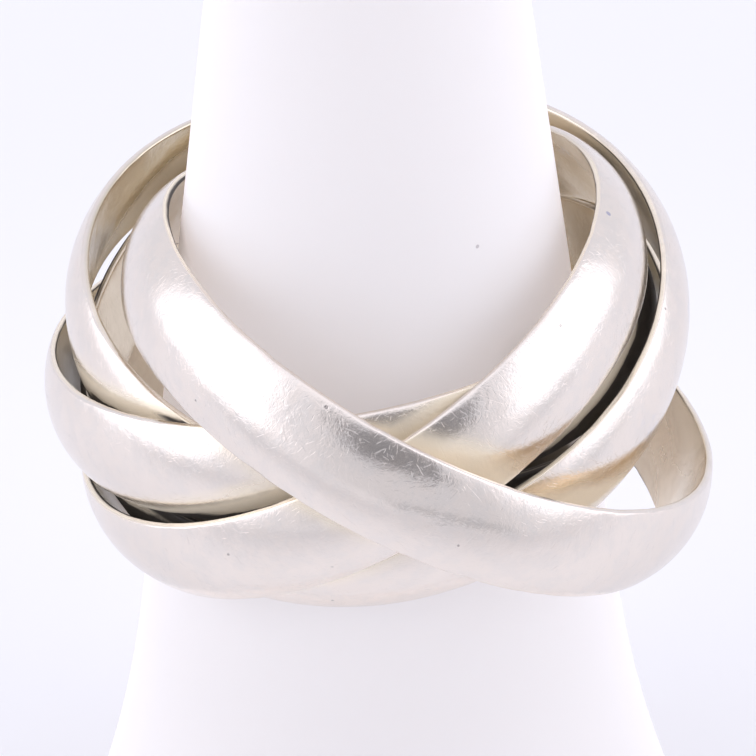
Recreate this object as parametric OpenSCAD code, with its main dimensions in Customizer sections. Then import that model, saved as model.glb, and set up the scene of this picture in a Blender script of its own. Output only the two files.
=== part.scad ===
// Rolling ring: five equal bands, each linked through all the others, hung on a
// tapered stand. The stand's axis is Z and its foot stands on the plane Z = 0.
// The front of the stand faces -Y.

/* [Bands] */
// Inner diameter of every band
band_bore = 20.5; // [20.4:0.05:20.55]
// Width of a band along its own axis
band_width = 3.5; // [2.5:0.1:3.5]
// Thickness at the crown of the half-round outside
crown_thickness = 0.8; // [0.5:0.05:0.8]
// Thickness at the flat rims
rim_thickness = 0.3; // [0.2:0.05:0.4]

/* [Stand] */
// Radius that the straight taper would have at the foot
taper_foot_radius = 11.47; // [10.9:0.01:11.47]
// Angle between the taper's side and its axis
taper_angle = 8.6; // [8.6:0.1:9.5]
// Radius of the round tip
tip_radius = 3.2; // [2.5:0.1:4]
// Radius of the foot
foot_radius = 13; // [12.8:0.1:15]
// Height of the straight edge round the foot
foot_edge = 0.8; // [0.5:0.1:1.5]
// Height at which the taper starts to flare towards the foot
flare_height = 16; // [10:0.5:16]

/* [Hidden] */
$fn = 96;

bore_radius = band_bore/2;
half_width = band_width/2;
crown_rise = crown_thickness - rim_thickness;
dome_radius = (half_width^2 + crown_rise^2)/(2*crown_rise);

// Where each band lies, first to fifth. Its axis leans from upright by lean degrees,
// towards the compass angle toward, counted from +X round to +Y.
// Columns: lean, toward, centre x, centre y, centre z
LEAN = 0;
TOWARD = 1;
PLACE_X = 2;
PLACE_Y = 3;
PLACE_Z = 4;
band_places = [
    [29.5,   22,  1.60, -1.50, 27.70],
    [29.5,  170, -0.60,  0.15, 27.25],
    [16.0,  122, -0.90,  1.30, 26.90],
    [10.0,  -33,  0.00,  2.10, 27.50],
    [18.0, -138,  0.20,  0.90, 27.40],
];

taper_slope = tan(taper_angle);
tip_join_radius = tip_radius*cos(taper_angle);
tip_join_height = (taper_foot_radius - tip_join_radius)/taper_slope;
tip_centre_height = tip_join_height - tip_radius*sin(taper_angle);
flare_steps = 12;

// Radius of the straight taper at height z
function taper_radius(z) = taper_foot_radius - z*taper_slope;

// How far the flare stands out from the taper at height z: it grows with the square of
// the way down from flare_height, and reaches foot_radius at the top of the foot's edge.
flare_reach = foot_radius - taper_radius(foot_edge);
function flare_way(z) = (flare_height - z)/(flare_height - foot_edge);
function stand_radius(z) = taper_radius(z) + flare_reach*flare_way(z)^2;

module stand_profile() {
    polygon(concat(
        [[0, 0], [foot_radius, 0]],
        [for (step = [0 : flare_steps])
            let (z = foot_edge + (flare_height - foot_edge)*step/flare_steps)
            [stand_radius(z), z]],
        [[tip_join_radius, tip_join_height], [0, tip_join_height]]
    ));
}

module ring_cone() {
    color("white") {
        rotate_extrude() stand_profile();
        translate([0, 0, tip_centre_height]) sphere(r = tip_radius);
    }
}

module band_section() {
    intersection() {
        translate([bore_radius, -half_width]) square([crown_thickness, band_width]);
        translate([bore_radius + crown_thickness - dome_radius, 0]) circle(r = dome_radius);
    }
}

module band(place) {
    color("silver")
        translate([place[PLACE_X], place[PLACE_Y], place[PLACE_Z]])
            rotate([0, 0, place[TOWARD]])
                rotate([0, place[LEAN], 0])
                    rotate_extrude() band_section();
}

module first_band() { band(band_places[0]); }
module second_band() { band(band_places[1]); }
module third_band() { band(band_places[2]); }
module fourth_band() { band(band_places[3]); }
module fifth_band() { band(band_places[4]); }

ring_cone();
first_band();
second_band();
third_band();
fourth_band();
fifth_band();
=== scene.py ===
import math

import bmesh
import bpy
import numpy as np
from mathutils import Matrix, Vector
from mathutils.bvhtree import BVHTree


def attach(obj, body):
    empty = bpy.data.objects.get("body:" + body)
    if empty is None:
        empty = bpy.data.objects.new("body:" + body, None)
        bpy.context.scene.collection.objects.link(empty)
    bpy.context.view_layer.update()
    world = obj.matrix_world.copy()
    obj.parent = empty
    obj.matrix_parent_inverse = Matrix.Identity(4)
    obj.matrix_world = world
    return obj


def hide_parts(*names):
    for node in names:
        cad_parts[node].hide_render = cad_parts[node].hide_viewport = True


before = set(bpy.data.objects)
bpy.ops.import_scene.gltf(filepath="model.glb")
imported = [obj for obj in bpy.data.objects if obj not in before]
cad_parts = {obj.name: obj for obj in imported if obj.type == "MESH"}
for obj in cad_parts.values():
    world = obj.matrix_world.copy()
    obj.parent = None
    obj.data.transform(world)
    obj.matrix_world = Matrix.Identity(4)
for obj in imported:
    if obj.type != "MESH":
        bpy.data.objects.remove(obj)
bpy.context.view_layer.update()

# Ring cone
# A plain tapered display stand, moulded in white satin plastic. Its side flares softly
# towards the foot, and its tip is round. The bands hang on it at their own diameter.
MM = 0.001
FULL_TURN = 2*math.pi

CONE_FOOT_RADIUS = 13.0*MM
CONE_FOOT_EDGE = 0.8*MM
CONE_FLARE_HEIGHT = 16.0*MM
CONE_TAPER_RADIUS = 11.47*MM
CONE_TAPER = math.radians(8.6)
CONE_TIP_RADIUS = 3.2*MM
CONE_EDGE_ROUNDING = 0.25*MM
# The foot's upper edge turns through this many degrees into the side
CONE_EDGE_TURN = 60
CONE_STEPS_ROUND = 180
CONE_STEPS_UP = 110
CONE_STEPS_ARC = 10


def cone_radius(height):
    """The stand's radius at one height: a straight taper and a flare that grows as its square."""
    taper = CONE_TAPER_RADIUS - height*math.tan(CONE_TAPER)
    reach = CONE_FOOT_RADIUS - CONE_TAPER_RADIUS + CONE_FOOT_EDGE*math.tan(CONE_TAPER)
    way = (CONE_FLARE_HEIGHT - height)/(CONE_FLARE_HEIGHT - CONE_FOOT_EDGE)
    return taper + reach*max(way, 0)**2


def arc_points(centre_x, centre_y, radius, start, end, steps):
    """Points along an arc, angles in degrees, both ends included."""
    turns = [math.radians(start + (end - start)*step/steps) for step in range(steps + 1)]
    return [(centre_x + radius*math.cos(turn), centre_y + radius*math.sin(turn)) for turn in turns]


def cone_outline():
    """Radius and height from the foot's rim up to just below the very top of the tip."""
    rounding = CONE_EDGE_ROUNDING
    edge_x = CONE_FOOT_RADIUS - rounding
    outline = arc_points(edge_x, rounding, rounding, -90, 0, CONE_STEPS_ARC)
    outline += arc_points(edge_x, CONE_FOOT_EDGE - rounding, rounding, 0, CONE_EDGE_TURN, CONE_STEPS_ARC)
    tip_join_radius = CONE_TIP_RADIUS*math.cos(CONE_TAPER)
    tip_join_height = (CONE_TAPER_RADIUS - tip_join_radius)/math.tan(CONE_TAPER)
    tip_centre = tip_join_height - CONE_TIP_RADIUS*math.sin(CONE_TAPER)
    side_start = CONE_FOOT_EDGE + rounding
    for step in range(CONE_STEPS_UP):
        height = side_start + (tip_join_height - side_start)*step/CONE_STEPS_UP
        outline.append((cone_radius(height), height))
    tip_arc = arc_points(0, tip_centre, CONE_TIP_RADIUS, math.degrees(CONE_TAPER), 90, 2*CONE_STEPS_ARC)
    return outline + tip_arc[:-1], tip_centre + CONE_TIP_RADIUS


def turned_mesh(name, outline, top_height, steps_round):
    """A solid turned from an outline of radius and height, closed at its foot and its top."""
    shape = bmesh.new()
    rings = []
    for radius, height in outline:
        turns = [FULL_TURN*step/steps_round for step in range(steps_round)]
        rings.append([shape.verts.new((radius*math.cos(t), radius*math.sin(t), height)) for t in turns])
    for low, high in zip(rings, rings[1:]):
        for step in range(steps_round):
            after = (step + 1) % steps_round
            shape.faces.new((low[step], low[after], high[after], high[step]))
    foot_middle = shape.verts.new((0, 0, outline[0][1]))
    top_middle = shape.verts.new((0, 0, top_height))
    for step in range(steps_round):
        after = (step + 1) % steps_round
        shape.faces.new((rings[0][after], rings[0][step], foot_middle))
        shape.faces.new((rings[-1][step], rings[-1][after], top_middle))
    for face in shape.faces:
        face.smooth = True
    mesh = bpy.data.meshes.new(name)
    shape.to_mesh(mesh)
    shape.free()
    return mesh


def add_object(name, mesh):
    """Puts a mesh into the scene as an object at the origin."""
    piece = bpy.data.objects.new(name, mesh)
    bpy.context.scene.collection.objects.link(piece)
    return piece


def give(tree, node, inputs):
    """Gives a node's inputs their values or links."""
    for name, value in inputs.items():
        if isinstance(value, bpy.types.NodeSocket):
            tree.links.new(value, node.inputs[name])
        else:
            node.inputs[name].default_value = value


def add_node(tree, kind, inputs=None, **settings):
    """Adds a node with its settings and its inputs."""
    node = tree.nodes.new(kind)
    for name, value in settings.items():
        setattr(node, name, value)
    give(tree, node, inputs or {})
    return node


def calc(tree, operation, *values, clamp=False):
    """The result of a Math node."""
    inputs = dict(enumerate(values))
    return add_node(tree, "ShaderNodeMath", inputs, operation=operation, use_clamp=clamp).outputs[0]


def product(tree, first, *others):
    """Several values multiplied."""
    for other in others:
        first = calc(tree, "MULTIPLY", first, other)
    return first


def vector_calc(tree, operation, *values, result="Vector"):
    """The result of a Vector Math node."""
    inputs = dict(enumerate(values))
    return add_node(tree, "ShaderNodeVectorMath", inputs, operation=operation).outputs[result]


def split(tree, vector):
    """The X, Y and Z of a vector."""
    return add_node(tree, "ShaderNodeSeparateXYZ", {0: vector}).outputs


def fade(tree, value, start, end, low=0.0, high=1.0):
    """A smooth step: low where the value is at start, and high where it is at end."""
    inputs = {"Value": value, "From Min": start, "From Max": end, "To Min": low, "To Max": high}
    node = add_node(tree, "ShaderNodeMapRange", inputs, interpolation_type="SMOOTHSTEP")
    return node.outputs["Result"]


def mix_colours(tree, share, first, second):
    """Two colours mixed by a share from 0 to 1."""
    return add_node(tree, "ShaderNodeMix", {0: share, 6: first, 7: second}, data_type="RGBA").outputs[2]


def noise(tree, place, scale, detail=2.0, roughness=0.5):
    """A cloud pattern from 0 to 1, its scale in waves for each unit of place."""
    inputs = {"Vector": place, "Scale": scale, "Detail": detail, "Roughness": roughness}
    return add_node(tree, "ShaderNodeTexNoise", inputs).outputs["Fac"]


def attribute(tree, name):
    """A value that the mesh stores at each of its points."""
    return add_node(tree, "ShaderNodeAttribute", attribute_name=name).outputs["Fac"]


def new_material(name):
    """An empty material, with its tree, its shader and its place in millimetres."""
    material = bpy.data.materials.new(name)
    material.use_nodes = True
    tree = material.node_tree
    tree.nodes.clear()
    shader = add_node(tree, "ShaderNodeBsdfPrincipled")
    add_node(tree, "ShaderNodeOutputMaterial", {"Surface": shader.outputs["BSDF"]})
    place = add_node(tree, "ShaderNodeTexCoord").outputs["Object"]
    place_mm = vector_calc(tree, "MULTIPLY", place, (1/MM, 1/MM, 1/MM))
    return material, tree, shader, place_mm


def bumped(tree, height, distance):
    """A normal bent by a height that runs from 0 to 1 over the given distance."""
    inputs = {"Height": height, "Distance": distance, "Strength": 1.0}
    return add_node(tree, "ShaderNodeBump", inputs).outputs["Normal"]


# A spot is at its full strength within this part of its size
SPOT_MIDDLE = 0.6


def spot(tree, place, middle, size):
    """A small round spot about one point, 1 in its middle and soft at its edge."""
    away = vector_calc(tree, "DISTANCE", place, middle, result="Value")
    return fade(tree, away, size, size*SPOT_MIDDLE)


# Painted shade below the bands: the plastic is a little greyer low down, and turns so between two heights in
# millimetres
PLASTIC_TINTS = ((0.54, 0.545, 0.54, 1), (0.56, 0.565, 0.56, 1))
PLASTIC_LOW_SHADE_TINT = (0.49, 0.495, 0.49, 1)
PLASTIC_LOW_SHADE_HEIGHTS = (24.0, 16.0)
# Painted shade, nearly black, on the plastic where the bands lie close about it, low down
GAP_SHADE_TINT = (0.08, 0.074, 0.068, 1)
GAP_SHADE_SHELTER = (0.60, 0.69)
GAP_SHADE_HEIGHTS = (29.0, 28.0)
# The dust specks' places and sizes in millimetres
DUST_SPECKS = [((3.34, -5.15, 35.24), 0.08), ((-2.0, 6.4, 31.0), 0.06), ((5.8, 4.9, 12.0), 0.07)]
DUST_TINT = (0.16, 0.15, 0.17, 1)
DUST_SHARE = 0.85
PLASTIC_ROUGHNESS = 0.30
PLASTIC_ROUGHNESS_SPREAD = 0.06
PLASTIC_RELIEF = 0.002*MM
# A painted glow: the plastic gives out a little light of its own, standing in for light that has entered
# elsewhere and comes back out of the translucent plastic
PAINTED_GLOW_SHELTER = (0.65, 0.9)
PAINTED_GLOW_LEVELS = (0.38, 0.1)
PLASTIC_OPTICS = {
    "IOR": 1.49,
    "Subsurface Weight": 0.6,
    "Subsurface Radius": (1.0, 0.85, 0.8),
    "Subsurface Scale": 2.5*MM,
    # The painted glow's tint
    "Emission Color": (1.0, 0.90, 0.93, 1),
}


def white_plastic():
    """White satin plastic, translucent, with a few specks of dust, a faint unevenness, a painted glow, and
    painted shade low down and close about the bands.
    """
    material, tree, shader, place = new_material("white_plastic")
    shelter = attribute(tree, "shelter")
    up = split(tree, place)["Z"]
    colour = mix_colours(tree, noise(tree, place, scale=0.12), *PLASTIC_TINTS)
    # Painted shade low on the stand, below the bands
    colour = mix_colours(tree, fade(tree, up, *PLASTIC_LOW_SHADE_HEIGHTS), colour, PLASTIC_LOW_SHADE_TINT)
    # Painted shade in the narrow gaps where the bands lie close about the plastic
    gap_shade = product(tree, fade(tree, shelter, *GAP_SHADE_SHELTER), fade(tree, up, *GAP_SHADE_HEIGHTS))
    colour = mix_colours(tree, gap_shade, colour, GAP_SHADE_TINT)
    for speck_place, speck_size in DUST_SPECKS:
        speck = product(tree, spot(tree, place, speck_place, speck_size), DUST_SHARE)
        colour = mix_colours(tree, speck, colour, DUST_TINT)
    cloud = noise(tree, place, scale=0.3, detail=3)
    rough = calc(tree, "MULTIPLY_ADD", cloud, PLASTIC_ROUGHNESS_SPREAD, PLASTIC_ROUGHNESS)
    # The painted glow, weaker where the plastic is closed off, and gone where the painted gap shade is
    painted_glow = fade(tree, shelter, *PAINTED_GLOW_SHELTER, *PAINTED_GLOW_LEVELS)
    give(tree, shader, PLASTIC_OPTICS)
    give(tree, shader, {
        "Base Color": colour,
        "Roughness": rough,
        "Emission Strength": product(tree, painted_glow, calc(tree, "SUBTRACT", 1.0, gap_shade)),
        "Normal": bumped(tree, noise(tree, place, scale=0.8), PLASTIC_RELIEF),
    })
    material.cycles.emission_sampling = "NONE"
    return material


cone_sides, cone_top = cone_outline()
ring_cone = add_object("display_cone", turned_mesh("display_cone", cone_sides, cone_top, CONE_STEPS_ROUND))
ring_cone.data.materials.append(white_plastic())
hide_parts("ring_cone")
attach(ring_cone, "stand")

# Bands
# Five equal bands of half-round silver wire, each bent round a mandrel and soldered shut
# through all the others. They are plain, polished once, and dulled by hairline scratches.
BORE_RADIUS = 10.25*MM
WIRE_WIDTH = 3.5*MM
WIRE_CROWN = 0.8*MM
WIRE_RIM = 0.3*MM
BORE_HOLLOW = 0.04*MM
BORE_EDGE_ROUNDING = 0.11*MM
RIM_EDGE_ROUNDING = 0.13*MM
BORE_STEPS = 14
DOME_STEPS = 40
CORNER_STEPS = 7
RING_STEPS = 300


def wire_side(rise, rounding):
    """One broad side of the wire: its arc's radius, how far it turns, and its corner's way in."""
    half = WIRE_WIDTH/2
    radius = (half**2 + rise**2)/(2*rise)
    turn = math.asin((half - rounding)/(radius - rounding))
    return radius, math.degrees(turn), (radius - rounding)*math.cos(turn)


def wire_section():
    """The outline of the half-round wire: height above the bore, and place across the width."""
    half = WIRE_WIDTH/2
    inner, outer = BORE_EDGE_ROUNDING, RIM_EDGE_ROUNDING
    dome, dome_turn, dome_in = wire_side(WIRE_CROWN - WIRE_RIM, outer)
    bore, bore_turn, bore_in = wire_side(BORE_HOLLOW, inner)
    rim_x = WIRE_CROWN - dome + dome_in
    bore_x = bore - bore_in
    outline = arc_points(WIRE_CROWN - dome, 0, dome, -dome_turn, dome_turn, DOME_STEPS)
    outline += arc_points(rim_x, half - outer, outer, dome_turn, 90, CORNER_STEPS)[1:]
    outline += arc_points(bore_x, half - inner, inner, 90, 180 - bore_turn, CORNER_STEPS)
    outline += arc_points(bore, 0, bore, 180 - bore_turn, 180 + bore_turn, BORE_STEPS)[1:-1]
    outline += arc_points(bore_x, inner - half, inner, 180 + bore_turn, 270, CORNER_STEPS)
    outline += arc_points(rim_x, outer - half, outer, 270, 360 - dome_turn, CORNER_STEPS)[:-1]
    return outline


def wire_mesh():
    """The wire's section as a closed loop of edges, on the plane of X and Z."""
    outline = wire_section()
    count = len(outline)
    mesh = bpy.data.meshes.new("wire_section")
    points = [(height, 0, across) for height, across in outline]
    mesh.from_pydata(points, [(step, (step + 1) % count) for step in range(count)], [])
    return mesh, count


# The named inputs of the tree that bends the wire, and their kinds
RING_INPUTS = {
    "Wire Section": "NodeSocketGeometry",
    "Section Points": "NodeSocketInt",
    "Bore Radius": "NodeSocketFloat",
    "Steps Round": "NodeSocketInt",
    "Lean": "NodeSocketFloat",
    "Toward": "NodeSocketFloat",
    "Centre": "NodeSocketVector",
    "Wave Depth": "NodeSocketFloat",
    "Wave Length": "NodeSocketFloat",
    "Nick Depth": "NodeSocketFloat",
    "Nick Length": "NodeSocketFloat",
    "Seed": "NodeSocketFloat",
    "Bore Brown And Shade": "NodeSocketFloat",
    "Finish": "NodeSocketMaterial",
}
# The ring's two ends are joined where their points lie this close
SEAM_REACH = 0.001*MM
# The nicks lie in a narrow strip along each rim, where a cloud pattern is between these values
NICK_REACH = 0.1*MM
NICK_CLOUD = (0.45, 0.75)


def bent_ring(tree, given):
    """The wire's section swept round into a closed ring, with the places in it stored."""
    grid = add_node(tree, "GeometryNodeMeshGrid", {
        "Size X": 1.0,
        "Size Y": 1.0,
        "Vertices X": calc(tree, "ADD", given["Steps Round"], 1),
        "Vertices Y": calc(tree, "ADD", given["Section Points"], 1),
    })
    share = split(tree, grid.outputs["UV Map"])
    turn = product(tree, share["X"], FULL_TURN)
    step = calc(tree, "ROUND", product(tree, share["Y"], given["Section Points"]))
    step = calc(tree, "MODULO", step, given["Section Points"])
    position = add_node(tree, "GeometryNodeInputPosition").outputs[0]
    sampled = add_node(tree, "GeometryNodeSampleIndex", {
        "Geometry": given["Wire Section"], "Value": position, "Index": step}, data_type="FLOAT_VECTOR")
    wire = split(tree, sampled.outputs[0])
    radius = calc(tree, "ADD", given["Bore Radius"], wire["X"])
    bent = add_node(tree, "ShaderNodeCombineXYZ", {
        "X": product(tree, radius, calc(tree, "COSINE", turn)),
        "Y": product(tree, radius, calc(tree, "SINE", turn)),
        "Z": wire["Z"],
    }).outputs[0]

    along_mm = product(tree, turn, BORE_RADIUS/MM)
    across_mm = calc(tree, "DIVIDE", wire["Z"], MM)
    rise_mm = calc(tree, "DIVIDE", wire["X"], MM)
    wire_map = add_node(tree, "ShaderNodeCombineXYZ", {"X": along_mm, "Y": across_mm}).outputs[0]
    stored = [
        ("wire_map", wire_map, "FLOAT2", "CORNER"),
        ("rise_mm", rise_mm, "FLOAT", "POINT"),
        ("across_mm", across_mm, "FLOAT", "POINT"),
        ("bore_brown_and_shade", given["Bore Brown And Shade"], "FLOAT", "POINT"),
    ]
    ring = grid.outputs["Mesh"]
    for name, value, kind, domain in stored:
        inputs = {"Geometry": ring, "Name": name, "Value": value}
        node = add_node(tree, "GeometryNodeStoreNamedAttribute", inputs, data_type=kind, domain=domain)
        ring = node.outputs[0]
    shaped = add_node(tree, "GeometryNodeSetPosition", {"Geometry": ring, "Position": bent})
    inputs = {"Geometry": shaped.outputs[0], "Distance": SEAM_REACH}
    return add_node(tree, "GeometryNodeMergeByDistance", inputs).outputs[0]


def seeded_noise(tree, given, length, detail):
    """A cloud pattern over the ring, different for each seed."""
    inputs = {
        "Vector": add_node(tree, "GeometryNodeInputPosition").outputs[0],
        "W": given["Seed"],
        "Detail": detail,
        "Scale": calc(tree, "DIVIDE", 1.0, length),
    }
    return add_node(tree, "ShaderNodeTexNoise", inputs, noise_dimensions="4D").outputs["Fac"]


def worn_ring(tree, given, ring):
    """The ring with its surface a little wavy and small dents along its rims, all inwards."""
    across = add_node(tree, "GeometryNodeInputNamedAttribute", {"Name": "across_mm"}, data_type="FLOAT")
    off_middle = calc(tree, "ABSOLUTE", across.outputs[0])
    at_rim = fade(tree, off_middle, (WIRE_WIDTH/2 - NICK_REACH)/MM, WIRE_WIDTH/2/MM)
    wave = product(tree, seeded_noise(tree, given, given["Wave Length"], 1.0), given["Wave Depth"])
    nick = fade(tree, seeded_noise(tree, given, given["Nick Length"], 2.0), *NICK_CLOUD)
    nick = product(tree, nick, given["Nick Depth"])
    inward = calc(tree, "ADD", wave, product(tree, nick, at_rim))
    normal = add_node(tree, "GeometryNodeInputNormal").outputs[0]
    inputs = {0: normal, "Scale": product(tree, inward, -1.0)}
    offset = add_node(tree, "ShaderNodeVectorMath", inputs, operation="SCALE").outputs["Vector"]
    return add_node(tree, "GeometryNodeSetPosition", {"Geometry": ring, "Offset": offset}).outputs[0]


def ring_tree():
    """Bends the wire's section round into a closed ring and lays the ring in its place."""
    tree = bpy.data.node_groups.new("wire_bent_to_ring", "GeometryNodeTree")
    tree.interface.new_socket("Geometry", in_out="OUTPUT", socket_type="NodeSocketGeometry")
    sockets = {}
    for name, kind in RING_INPUTS.items():
        sockets[name] = tree.interface.new_socket(name, in_out="INPUT", socket_type=kind).identifier
    given = add_node(tree, "NodeGroupInput").outputs

    ring = worn_ring(tree, given, bent_ring(tree, given))
    angles = add_node(tree, "ShaderNodeCombineXYZ", {"Y": given["Lean"], "Z": given["Toward"]})
    rotation = add_node(tree, "FunctionNodeEulerToRotation", {0: angles.outputs[0]})
    placed = add_node(tree, "GeometryNodeTransform", {
        "Geometry": ring, "Translation": given["Centre"], "Rotation": rotation.outputs[0]})
    smooth = add_node(tree, "GeometryNodeSetShadeSmooth", {"Geometry": placed.outputs[0]})
    real = add_node(tree, "GeometryNodeRealizeInstances", {"Geometry": smooth.outputs[0]})
    finished = add_node(tree, "GeometryNodeSetMaterial", {
        "Geometry": real.outputs[0], "Material": given["Finish"]})
    add_node(tree, "NodeGroupOutput", {"Geometry": finished.outputs[0]})
    return tree, sockets


# The hairlines' families. Each has one line at most in a cell, in the share of cells that is
# kept, with the cells and widths in millimetres.
HAIRLINES = [
    {"cell": 0.2, "width": 0.028, "kept": 1.0},
    {"cell": 0.3, "width": 0.03, "kept": 1.0},
    {"cell": 0.45, "width": 0.026, "kept": 0.8},
    {"cell": 0.8, "width": 0.022, "kept": 0.6},
    {"cell": 2.2, "width": 0.022, "kept": 0.4},
]
HAIRLINE_CURL = (0.3, 0.3, 0.3)
# A line is deepest within this part of its width, and runs out between these parts of its cell
HAIRLINE_CORE = 1/8
HAIRLINE_FULL = 0.3
HAIRLINE_END = 0.6
MIDDLE_COLOUR = (0.5, 0.5, 0.5)
GRAIN_STRETCH = (1.0, 1.0, 0.6)
SCUFF_CLOUD = (0.58, 0.70)
# The pits that show as single marks, each with its place and size in millimetres
SILVER_PITS = [
    ((-1.51, -10.35, 32.98), 0.08),
    ((2.47, -12.39, 29.02), 0.055),
    ((-1.58, -9.39, 24.01), 0.055),
    ((5.96, -6.38, 32.95), 0.055),
    ((9.84, -2.52, 30.67), 0.06),
    ((-4.88, -9.94, 26.65), 0.06),
    ((-5.68, -8.49, 31.89), 0.05),
]


def hairlines(tree, place, normal, cell, width, kept):
    """Short faint scratches, one in each kept cell, turned at random along the surface."""
    cells = add_node(tree, "ShaderNodeTexVoronoi", {"Vector": place, "Scale": 1/cell})
    local = vector_calc(tree, "SUBTRACT", place, cells.outputs["Position"])
    turned = vector_calc(tree, "SUBTRACT", cells.outputs["Color"], MIDDLE_COLOUR)
    flat = vector_calc(tree, "NORMALIZE", vector_calc(tree, "CROSS_PRODUCT", turned, normal))
    off_line = calc(tree, "ABSOLUTE", vector_calc(tree, "DOT_PRODUCT", local, flat, result="Value"))
    line = fade(tree, off_line, width/2, width*HAIRLINE_CORE)
    length = vector_calc(tree, "LENGTH", local, result="Value")
    inside = fade(tree, length, cell*HAIRLINE_END, cell*HAIRLINE_FULL)
    pick = add_node(tree, "ShaderNodeSeparateColor", {"Color": cells.outputs["Color"]}).outputs
    return product(tree, line, inside, fade(tree, pick["Blue"], kept, 0.0))


def pits(tree, place, cell, size, kept):
    """Small round pits, one in each kept cell, fading out at their rims."""
    cells = add_node(tree, "ShaderNodeTexVoronoi", {"Vector": place, "Scale": 1/cell})
    pick = add_node(tree, "ShaderNodeSeparateColor", {"Color": cells.outputs["Color"]}).outputs
    local = vector_calc(tree, "SUBTRACT", place, cells.outputs["Position"])
    away = vector_calc(tree, "LENGTH", local, result="Value")
    reach = calc(tree, "MULTIPLY_ADD", pick["Green"], size, size)
    pit = calc(tree, "SUBTRACT", 1.0, calc(tree, "DIVIDE", away, reach), clamp=True)
    return product(tree, pit, calc(tree, "LESS_THAN", pick["Red"], kept))


def silver_marks(tree, place):
    """The marks of wear, each from 0 to 1: hairlines, pits, the polish's grain and scuffs."""
    normal = add_node(tree, "ShaderNodeTexCoord").outputs["Normal"]
    clouds = add_node(tree, "ShaderNodeTexNoise", {"Vector": place, "Scale": 1.2, "Detail": 1.0})
    wander = vector_calc(tree, "SUBTRACT", clouds.outputs["Color"], MIDDLE_COLOUR)
    curled = vector_calc(tree, "MULTIPLY_ADD", wander, HAIRLINE_CURL, place)
    lines = hairlines(tree, curled, normal, **HAIRLINES[0])
    for family in HAIRLINES[1:]:
        lines = calc(tree, "MAXIMUM", lines, hairlines(tree, curled, normal, **family))
    dents = pits(tree, place, cell=1.6, size=0.05, kept=0.25)
    for pit_place, pit_size in SILVER_PITS:
        dents = calc(tree, "MAXIMUM", dents, spot(tree, place, pit_place, pit_size))
    stretched = vector_calc(tree, "MULTIPLY", place, GRAIN_STRETCH)
    grain = noise(tree, stretched, scale=11.0, detail=2, roughness=0.6)
    scuffed = fade(tree, noise(tree, place, scale=0.8, detail=5, roughness=0.65), *SCUFF_CLOUD)
    scuffs = product(tree, scuffed, noise(tree, place, scale=9.0, detail=3, roughness=0.6))
    return {"hairlines": lines, "pits": dents, "grain": grain, "scuffs": scuffs}


SILVER_TINTS = ((0.83, 0.755, 0.68, 1), (0.875, 0.805, 0.74, 1))
MOTTLE_TINT = (0.815, 0.758, 0.70, 1)
MOTTLE_CLOUD = (0.42, 0.62)
BORE_LIGHT_TINTS = ((0.76, 0.66, 0.52, 1), (0.84, 0.75, 0.62, 1))
BORE_BROWN_TINTS = ((0.56, 0.49, 0.36, 1), (0.72, 0.64, 0.50, 1))
BORE_STREAKS = (1.0, 1.0, 4.0)
STAIN_TINT = (0.72, 0.71, 0.76, 1)
STAIN_CLOUD = (0.66, 0.74)
STAIN_SHARE = 0.5
# One stain shows as a single lilac mark, with its place and size in millimetres
LILAC_MARK = ((7.90, -1.29, 33.76), 0.12)
LILAC_TINT = (0.42, 0.43, 0.56, 1)
LILAC_SHARE = 0.8


def silver_colour(tree, place, inside):
    """The silver's colour before the painted light and shade of sheltered places: whitish outside, and tan
    to brownish in the bore, which is partly tarnish and partly painted shade.
    """
    cloud = noise(tree, place, scale=0.5, detail=4, roughness=0.6)
    clean = mix_colours(tree, cloud, *SILVER_TINTS)
    mottle = fade(tree, noise(tree, place, scale=1.3, detail=5, roughness=0.7), *MOTTLE_CLOUD)
    clean = mix_colours(tree, mottle, clean, MOTTLE_TINT)
    streaks = noise(tree, vector_calc(tree, "MULTIPLY", place, BORE_STREAKS), scale=0.7, detail=4)
    light = mix_colours(tree, streaks, *BORE_LIGHT_TINTS)
    brown = mix_colours(tree, streaks, *BORE_BROWN_TINTS)
    # Tan to brown in the bore: partly tarnish, partly painted shade
    bore = mix_colours(tree, attribute(tree, "bore_brown_and_shade"), light, brown)
    colour = mix_colours(tree, inside, clean, bore)
    stain = noise(tree, place, scale=0.45, detail=4, roughness=0.6)
    colour = mix_colours(tree, fade(tree, stain, *STAIN_CLOUD, 0.0, STAIN_SHARE), colour, STAIN_TINT)
    lilac = product(tree, spot(tree, place, *LILAC_MARK), LILAC_SHARE)
    return mix_colours(tree, lilac, colour, LILAC_TINT)


# Each painted tint, the cream and gold painted warm light and the black painted shade, starts and is
# full at two degrees of shelter. The black one starts earlier on the dome near the rims, and on the flat
# of the rims themselves. Those places are given by their distance across from the wire's middle line, and by
# their rise above the bore.
CREAM_SHELTER = (0.0, 0.25)
GOLD_SHELTER = (0.12, 0.42)
BLACK_SHELTER = (0.74, 0.82)
NEAR_RIM_SHELTER = (0.50, 0.62)
ON_RIM_SHELTER = (0.4, 0.6)
NEAR_RIM_ACROSS = (1.25, 1.5)
ON_RIM_ACROSS = (1.60, 1.70)
ON_RIM_RISE = (0.24, 0.16)
# The back, beyond these depths in millimetres, has no painted black shade
BLACK_DEPTHS = (6.8, 5.8)
PATCHINESS = 0.1


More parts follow.
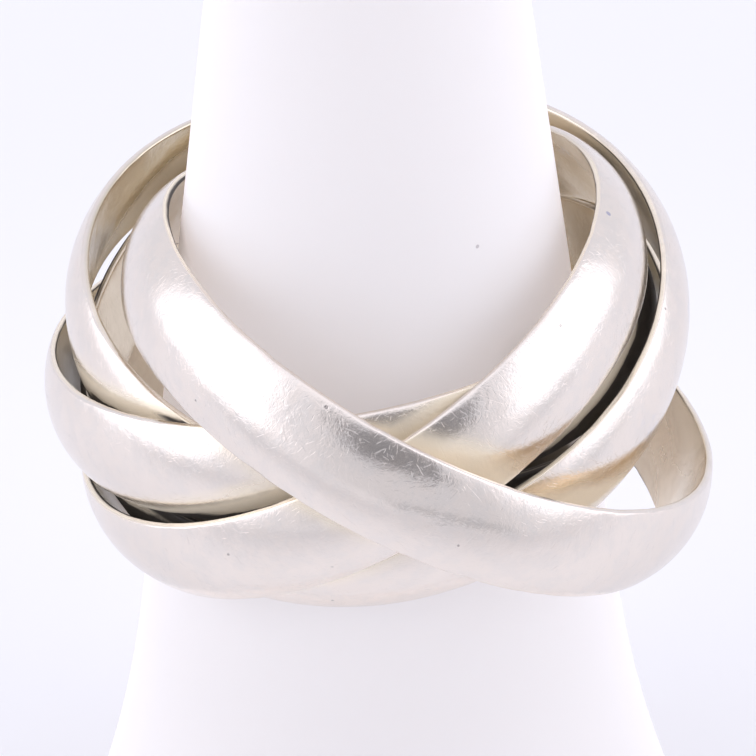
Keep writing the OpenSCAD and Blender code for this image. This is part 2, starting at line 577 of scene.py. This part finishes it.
def painted_light_and_shade(tree, place, rise, outside):
    """How strong the painted light and shade of sheltered places is, from 0 to 1: cream and gold painted
    warm light, black painted shade, and the share that dulls the metal.
    """
    off_middle = calc(tree, "ABSOLUTE", attribute(tree, "across_mm"))
    depth = split(tree, place)["Y"]
    shelter = calc(tree, "SUBTRACT", attribute(tree, "shelter"), PATCHINESS/2)
    patchy = calc(tree, "MULTIPLY_ADD", noise(tree, place, scale=1.5, detail=3), PATCHINESS, shelter)
    gold_share = fade(tree, patchy, *GOLD_SHELTER)
    near_rim = product(tree, fade(tree, off_middle, *NEAR_RIM_ACROSS), fade(tree, patchy, *NEAR_RIM_SHELTER))
    on_rim = product(tree, fade(tree, off_middle, *ON_RIM_ACROSS), fade(tree, rise, *ON_RIM_RISE),
                     fade(tree, patchy, *ON_RIM_SHELTER))
    black = calc(tree, "MAXIMUM", near_rim, fade(tree, patchy, *BLACK_SHELTER))
    black = calc(tree, "MAXIMUM", product(tree, black, outside), on_rim)
    return {
        "cream": product(tree, fade(tree, patchy, *CREAM_SHELTER), outside),
        "gold": product(tree, gold_share, outside),
        "black": product(tree, black, fade(tree, depth, *BLACK_DEPTHS)),
        "gold_share": gold_share,
    }


# The tints of the painted warm light, cream and gold, and of the painted shade, black
PAINTED_LIGHT_AND_SHADE_TINTS = {
    "cream": (0.90, 0.81, 0.69, 1),
    "gold": (0.97, 0.87, 0.69, 1),
    "black": (0.07, 0.062, 0.055, 1),
}
PIT_TINT = (0.25, 0.23, 0.22, 1)
PIT_SHARE = 0.6
# Between these rises above the bore, in millimetres, the outside's finish turns to the bore's
BORE_RISE = (0.25, 0.02)
# The metal is made less metallic where the painted gold light is, so that it takes up light from all round
GOLD_SHARE_DULLING = 0.75
SILVER_ROUGHNESS = 0.16
SILVER_ROUGHNESS_SPREAD = 0.07
BORE_ROUGHNESS = 0.02
HAIRLINE_ROUGHNESS = 0.015
BLACK_ROUGHNESS = 0.4
WAVE_RELIEF_MM = 0.05
RELIEF_MM = {"unevenness": 0.014, "scuffs": 0.009, "hairlines": -0.0026, "grain": 0.005, "pits": -0.008}


def silver_relief(tree, place, marks, outside):
    """The surface's height in millimetres: the polish's soft waves, and the marks of wear."""
    layers = {
        "unevenness": noise(tree, place, scale=1.4, detail=2),
        "scuffs": product(tree, marks["scuffs"], outside),
        "hairlines": product(tree, marks["hairlines"], outside),
        "grain": marks["grain"],
        "pits": marks["pits"],
    }
    relief = product(tree, noise(tree, place, scale=0.45, detail=1), WAVE_RELIEF_MM)
    for name, layer in layers.items():
        relief = calc(tree, "MULTIPLY_ADD", layer, RELIEF_MM[name], relief)
    return relief


def worn_silver():
    """Sterling silver: a wavy soft polish, the marks of wear, and painted warm light and painted shade where
    it is sheltered.
    """
    material, tree, shader, place = new_material("worn_silver")
    rise = attribute(tree, "rise_mm")
    inside = fade(tree, rise, *BORE_RISE)
    outside = calc(tree, "SUBTRACT", 1.0, inside)
    marks = silver_marks(tree, place)
    painted = painted_light_and_shade(tree, place, rise, outside)
    colour = silver_colour(tree, place, inside)
    # Painted warm light and painted shade where the pieces shelter the silver
    for name, tint in PAINTED_LIGHT_AND_SHADE_TINTS.items():
        colour = mix_colours(tree, painted[name], colour, tint)
    colour = mix_colours(tree, product(tree, marks["pits"], PIT_SHARE), colour, PIT_TINT)

    cloud = noise(tree, place, scale=0.9, detail=4, roughness=0.6)
    rough = calc(tree, "MULTIPLY_ADD", cloud, SILVER_ROUGHNESS_SPREAD, SILVER_ROUGHNESS)
    rough = calc(tree, "MULTIPLY_ADD", inside, BORE_ROUGHNESS, rough)
    rough = calc(tree, "MULTIPLY_ADD", marks["hairlines"], HAIRLINE_ROUGHNESS, rough)
    rough = calc(tree, "MULTIPLY_ADD", painted["black"], BLACK_ROUGHNESS, rough)
    give(tree, shader, {
        "Base Color": colour,
        "Metallic": calc(tree, "MULTIPLY_ADD", painted["gold_share"], -GOLD_SHARE_DULLING, 1.0),
        "Roughness": rough,
        "Normal": bumped(tree, silver_relief(tree, place, marks, outside), MM),
    })
    return material


# Where each band lies: its axis leans from upright by LEAN degrees towards the compass angle
# TOWARD, counted from +X round to +Y, and CENTRE is its middle in millimetres. The last value says
# how far its bore is tinted brown, from 0 to 1, which is partly tarnish and partly painted shade.
BAND_PLACES = {
    "first_band": {"lean": 29.5, "toward": 22, "centre": (1.60, -1.50, 27.70), "bore_brown_and_shade": 0.1},
    "second_band": {"lean": 29.5, "toward": 170, "centre": (-0.60, 0.15, 27.25), "bore_brown_and_shade": 0.4},
    "third_band": {"lean": 16.0, "toward": 122, "centre": (-0.90, 1.30, 26.90), "bore_brown_and_shade": 0.5},
    "fourth_band": {"lean": 10.0, "toward": -33, "centre": (0.00, 2.10, 27.50), "bore_brown_and_shade": 0.9},
    "fifth_band": {"lean": 18.0, "toward": -138, "centre": (0.20, 0.90, 27.40), "bore_brown_and_shade": 0.4},
}
BAND_BODIES = {"first_band": "stand"}
BAND_WEAR = {
    "Wave Depth": 0.03*MM,
    "Wave Length": 4.5*MM,
    "Nick Depth": 0.03*MM,
    "Nick Length": 0.8*MM,
}
FIRST_SEED = 1.0

# Shelter is the share of short rays from a point that meet a piece. The rays fill the half
# space in front of the surface, and are left out where nothing lies in a ball in front of it.
SHELTER_REACH = 2.5*MM
SHELTER_RAYS = 14
SHELTER_LIFT = 0.01*MM
SHELTER_SPREAD = 0.98
SHELTER_BALL = 0.97
SHELTER_BLURS = 5


def spread_directions(count):
    """Directions spread evenly over a sphere, along a spiral."""
    golden = math.pi*(3 - math.sqrt(5))
    heights = [1 - 2*(step + 0.5)/count for step in range(count)]
    flats = [math.sqrt(1 - height**2) for height in heights]
    return np.array([(flat*math.cos(golden*step), flat*math.sin(golden*step), height)
                     for step, (flat, height) in enumerate(zip(flats, heights))])


def mesh_arrays(mesh):
    """A mesh's points, normals and edges as arrays."""
    points = np.empty(3*len(mesh.vertices), dtype=np.float32)
    normals = np.empty(3*len(mesh.vertices), dtype=np.float32)
    edges = np.empty(2*len(mesh.edges), dtype=np.int32)
    mesh.vertices.foreach_get("co", points)
    mesh.vertices.foreach_get("normal", normals)
    mesh.edges.foreach_get("vertices", edges)
    return points.reshape(-1, 3), normals.reshape(-1, 3), edges.reshape(-1, 2)


def blurred(values, edges):
    """Each point's value half mixed with the mean of its neighbours'."""
    count = len(values)
    neighbours = np.bincount(edges.ravel(), minlength=count)
    total = np.bincount(edges[:, 0], values[edges[:, 1]], count)
    total += np.bincount(edges[:, 1], values[edges[:, 0]], count)
    return (values + total/neighbours)/2


def note_shelter(pieces):
    """Stores on each piece's points how far the pieces around them close them off, from 0 to 1."""
    points = []
    faces = []
    for piece in pieces:
        start = len(points)
        points += [vertex.co for vertex in piece.data.vertices]
        faces += [[start + corner for corner in face.vertices] for face in piece.data.polygons]
    around = BVHTree.FromPolygons(points, faces)
    spread = spread_directions(SHELTER_RAYS)
    for piece in pieces:
        places, normals, edges = mesh_arrays(piece.data)
        ways = normals[:, None, :] + spread[None]*SHELTER_SPREAD
        ways /= np.linalg.norm(ways, axis=2, keepdims=True)
        starts = (places + normals*SHELTER_LIFT).tolist()
        middles = (places + normals*SHELTER_REACH/2).tolist()
        closed = np.zeros(len(places))
        for index, (start, middle, rays) in enumerate(zip(starts, middles, ways.tolist())):
            if around.find_nearest(middle, SHELTER_REACH/2*SHELTER_BALL)[0] is not None:
                hits = sum(around.ray_cast(start, ray, SHELTER_REACH)[0] is not None for ray in rays)
                closed[index] = hits/SHELTER_RAYS
        for _ in range(SHELTER_BLURS):
            closed = blurred(closed, edges)
        noted = piece.data.attributes.new("shelter", "FLOAT", "POINT")
        noted.data.foreach_set("value", closed.astype(np.float32))


silver = worn_silver()
bend, bend_inputs = ring_tree()
section, section_points = wire_mesh()
bands = []
for seed, (node_name, laid) in enumerate(BAND_PLACES.items()):
    wire = add_object(node_name + "_wire", section)
    ring = wire.modifiers.new("bend", "NODES")
    ring.node_group = bend
    sizes = BAND_WEAR | {
        "Section Points": section_points,
        "Bore Radius": BORE_RADIUS,
        "Steps Round": RING_STEPS,
        "Lean": math.radians(laid["lean"]),
        "Toward": math.radians(laid["toward"]),
        "Centre": [part*MM for part in laid["centre"]],
        "Seed": FIRST_SEED + seed,
        "Bore Brown And Shade": laid["bore_brown_and_shade"],
        "Finish": silver,
    }
    for name, value in sizes.items():
        ring[bend_inputs[name]] = value
    bpy.context.view_layer.update()
    view = bpy.context.evaluated_depsgraph_get()
    mesh = bpy.data.meshes.new_from_object(wire.evaluated_get(view), depsgraph=view)
    mesh.name = node_name + "_silver"
    bpy.data.objects.remove(wire)
    band = add_object(node_name + "_silver", mesh)
    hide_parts(node_name)
    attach(band, BAND_BODIES.get(node_name, node_name))
    bands.append(band)
note_shelter([ring_cone] + bands)

# Table
# The pale floor sheet of the light tent that the stand is set on for its picture. The silver
# mirrors it only up to the tent's front opening. It isn't part of the object.
TABLE_REACH = 1.5
TABLE_FRONT = 0.1
# Painted light: the sheet is lighter near the stand, to offset the stand's own shade on it
TABLE_TINTS = ((0.86, 0.855, 0.86, 1), (0.88, 0.875, 0.88, 1))
TABLE_FRONT_SHADE_TINT = (0.68, 0.675, 0.68, 1)
TABLE_BACK_TINT = (0.82, 0.815, 0.82, 1)
# Depths in millimetres between which the sheet darkens to the front, as painted shade, and to the back, away
# from its painted lighter part near the stand
TABLE_FRONT_SHADE_DEPTHS = (-20.0, -75.0)
TABLE_BACK_DEPTHS = (10.0, 60.0)
TABLE_ROUGHNESS = 0.9
TABLE_GLOSS = 0.2


def floor_sheet(name, front, back):
    """A flat sheet on the ground between two depths."""
    sheet = bpy.data.meshes.new(name)
    corners = [(-TABLE_REACH, front), (TABLE_REACH, front), (TABLE_REACH, back), (-TABLE_REACH, back)]
    sheet.from_pydata([(x, y, 0) for x, y in corners], [], [(0, 1, 2, 3)])
    return add_object(name, sheet)


def pale_table():
    """Matt pale card, with painted shade towards the tent's front, and painted lighter near the stand than
    towards the back.
    """
    material, tree, shader, place = new_material("pale_table")
    depth = split(tree, place)["Y"]
    colour = mix_colours(tree, noise(tree, place, scale=0.01), *TABLE_TINTS)
    colour = mix_colours(tree, fade(tree, depth, *TABLE_FRONT_SHADE_DEPTHS), colour, TABLE_FRONT_SHADE_TINT)
    colour = mix_colours(tree, fade(tree, depth, *TABLE_BACK_DEPTHS), colour, TABLE_BACK_TINT)
    give(tree, shader, {
        "Base Color": colour, "Roughness": TABLE_ROUGHNESS, "Specular IOR Level": TABLE_GLOSS})
    return material


table = floor_sheet("table", -TABLE_FRONT, TABLE_REACH)
outer_table = floor_sheet("outer_table", -TABLE_REACH, -TABLE_FRONT)
outer_table.visible_glossy = False
outer_table.visible_diffuse = False
table_finish = pale_table()
for sheet in (table, outer_table):
    sheet.data.materials.append(table_finish)

# Studio light
# A white tent lights the object from all round. Its two side walls glow, its front is open
# and dimmer, and the camera in that opening shows as the dark patch on the polished fronts.
DEGREE = math.pi/180
TENT_TINT = (0.95, 0.95, 1.05, 1)
TENT_LEVEL = 0.94
BACKDROP = (0.947, 0.939, 0.991, 1)
# Compass angles count from the front to the right, and heights from the horizon up. SOFT is
# how wide the edges fade, for the compass and for the height. All are in degrees.
TENT_PANELS = {
    "roof": {"compass": (-400, 400), "height": (58, 100), "soft": (5, 5), "level": 1.2},
    "left wall": {"compass": (-112, -54), "height": (0, 57), "soft": (11, 8), "level": 2.0},
    "right wall": {"compass": (54, 112), "height": (3, 54), "soft": (11, 8), "level": 2.0},
    "front opening": {"compass": (-32, 39), "height": (-9, 24), "soft": (7, 5), "level": 0.80},
    "camera": {"compass": (-20, 27), "height": (23, 51), "soft": (4, 4), "level": 0.30},
    "front edge": {"compass": (-12, 34), "height": (-14.5, -8), "soft": (5, 1.5), "level": 0.5},
}


def panel_share(tree, compass, height, panel):
    """How much of a panel shows in each direction, from 0 to 1, with soft edges."""
    spans = (panel["compass"], panel["height"])
    sides = []
    for value, (start, end), soft in zip((compass, height), spans, panel["soft"]):
        sides.append(fade(tree, value, start - soft, start + soft))
        sides.append(fade(tree, value, end + soft, end - soft))
    return product(tree, *sides)


def tent_level(tree):
    """How bright the tent is in each direction."""
    way = split(tree, add_node(tree, "ShaderNodeTexCoord").outputs["Generated"])
    compass = calc(tree, "ARCTAN2", way["X"], product(tree, way["Y"], -1.0))
    compass = calc(tree, "DEGREES", compass)
    height = calc(tree, "DEGREES", calc(tree, "ARCSINE", way["Z"]))
    level = TENT_LEVEL
    for panel in TENT_PANELS.values():
        share = panel_share(tree, compass, height, panel)
        level = add_node(tree, "ShaderNodeMix", {0: share, 2: level, 3: panel["level"]}).outputs[0]
    return level


world = bpy.data.worlds.new("white_tent")
bpy.context.scene.world = world
world.use_nodes = True
world.cycles.sampling_method = "NONE"
tent = world.node_tree
tent.nodes.clear()
tent_light = add_node(tent, "ShaderNodeBackground", {"Color": TENT_TINT, "Strength": tent_level(tent)})
backdrop = add_node(tent, "ShaderNodeBackground", {"Color": BACKDROP, "Strength": 1.0})
seen = add_node(tent, "ShaderNodeLightPath").outputs["Is Camera Ray"]
shown = add_node(tent, "ShaderNodeMixShader", {0: seen, 1: tent_light.outputs[0], 2: backdrop.outputs[0]})
add_node(tent, "ShaderNodeOutputWorld", {"Surface": shown.outputs[0]})
bpy.context.scene.view_settings.view_transform = "Standard"
# Light goes to and fro many times between the bands before it comes out
bpy.context.scene.cycles.max_bounces = 14
bpy.context.scene.cycles.glossy_bounces = 10
bpy.context.scene.cycles.diffuse_bounces = 6

# Camera
# It looks down on the front from close by, a little rolled, as in the photograph.
CAMERA_AIM = Vector((0.09, 0.0, 26.0))*MM
CAMERA_HEIGHT_ANGLE = 38*DEGREE
CAMERA_DISTANCE = 89.2*MM
CAMERA_ROLL = 1.25*DEGREE
CAMERA_CLIP = (1*MM, 10.0)
SENSOR_WIDTH = 36.0
IMAGE_PIXELS = 756
FOCAL_PIXELS = 2500

camera_data = bpy.data.cameras.new("camera")
camera_data.sensor_width = SENSOR_WIDTH
camera_data.lens = SENSOR_WIDTH*FOCAL_PIXELS/IMAGE_PIXELS
camera_data.clip_start, camera_data.clip_end = CAMERA_CLIP
camera = add_object("camera", camera_data)
backward = Vector((0, -math.cos(CAMERA_HEIGHT_ANGLE), math.sin(CAMERA_HEIGHT_ANGLE)))
level_right = Vector((1, 0, 0))
level_up = backward.cross(level_right)
right = math.cos(CAMERA_ROLL)*level_right - math.sin(CAMERA_ROLL)*level_up
up = math.sin(CAMERA_ROLL)*level_right + math.cos(CAMERA_ROLL)*level_up
turned = Matrix((right, up, backward)).transposed().to_4x4()
camera.matrix_world = Matrix.Translation(CAMERA_AIM + backward*CAMERA_DISTANCE) @ turned
bpy.context.scene.camera = camera
